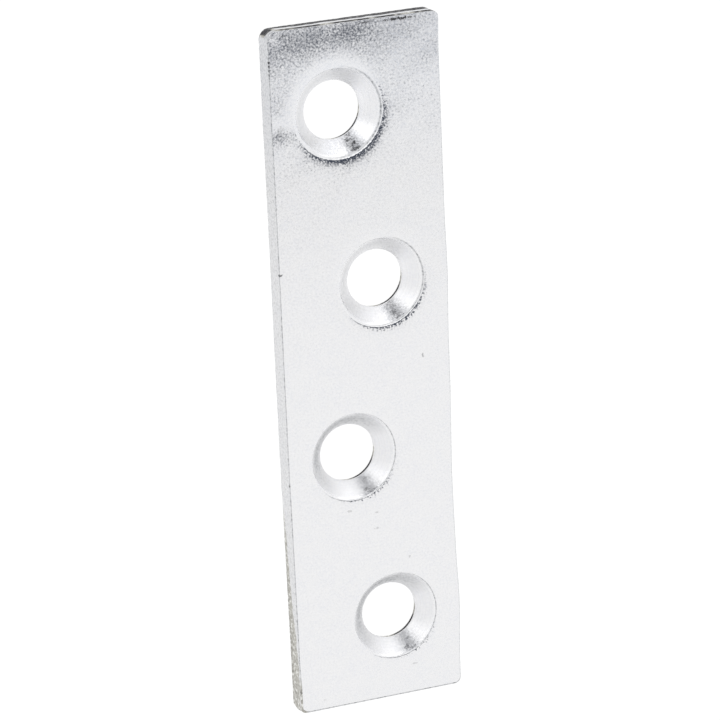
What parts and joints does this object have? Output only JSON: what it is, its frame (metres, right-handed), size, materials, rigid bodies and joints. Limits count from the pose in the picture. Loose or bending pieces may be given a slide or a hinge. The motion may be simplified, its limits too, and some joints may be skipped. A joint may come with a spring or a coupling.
{
  "type": "mending plate",
  "caption": "Flat straight mending plate: a narrow steel strip with rounded corners and a zig-zag row of countersunk screw holes.",
  "frame": {"origin": "middle of the strip on its back face", "axes": "+Y along the strip towards the end whose first hole lies left of the centreline, +Z out of the countersunk face, +X across the strip to the right"},
  "size_m": [0.0153, 0.06, 0.002],
  "materials": {
    "zinc_plated_steel": "bright zinc plating on cold-rolled strip: fine mottled satin grain, brighter on the pressed countersinks, duller on the sheared edges"
  },
  "bodies": {
    "root": {"plate": "zinc_plated_steel"}
  },
  "joints": []
}
